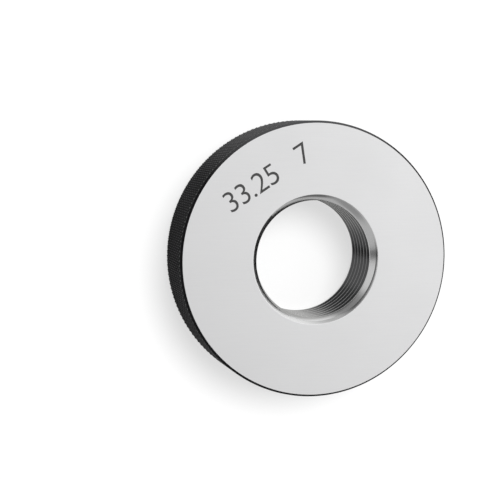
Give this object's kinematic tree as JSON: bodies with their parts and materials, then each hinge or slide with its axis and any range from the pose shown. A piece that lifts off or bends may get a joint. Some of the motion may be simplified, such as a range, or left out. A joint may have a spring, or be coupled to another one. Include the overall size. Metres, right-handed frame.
{
  "type": "thread ring gauge",
  "caption": "Flat hardened ring with ground faces, a black knurled rim and a right-hand parallel pipe thread through its bore; screws onto a threaded part to test its size.",
  "frame": {"origin": "centre of the bore in the plain back face, on which the ring lies", "axes": "+Z along the bore's axis, out of the marked face; +Y towards the marked side of that face; +X to the right of it"},
  "size_m": [0.071, 0.071, 0.018],
  "materials": {
    "ground_steel": "fine ground faces, lapped thread",
    "black_rim": "blackened steel, diamond knurled",
    "etched_mark": "dark etched characters"
  },
  "bodies": {
    "root": {"gauge_ring": "ground_steel"}
  },
  "joints": []
}
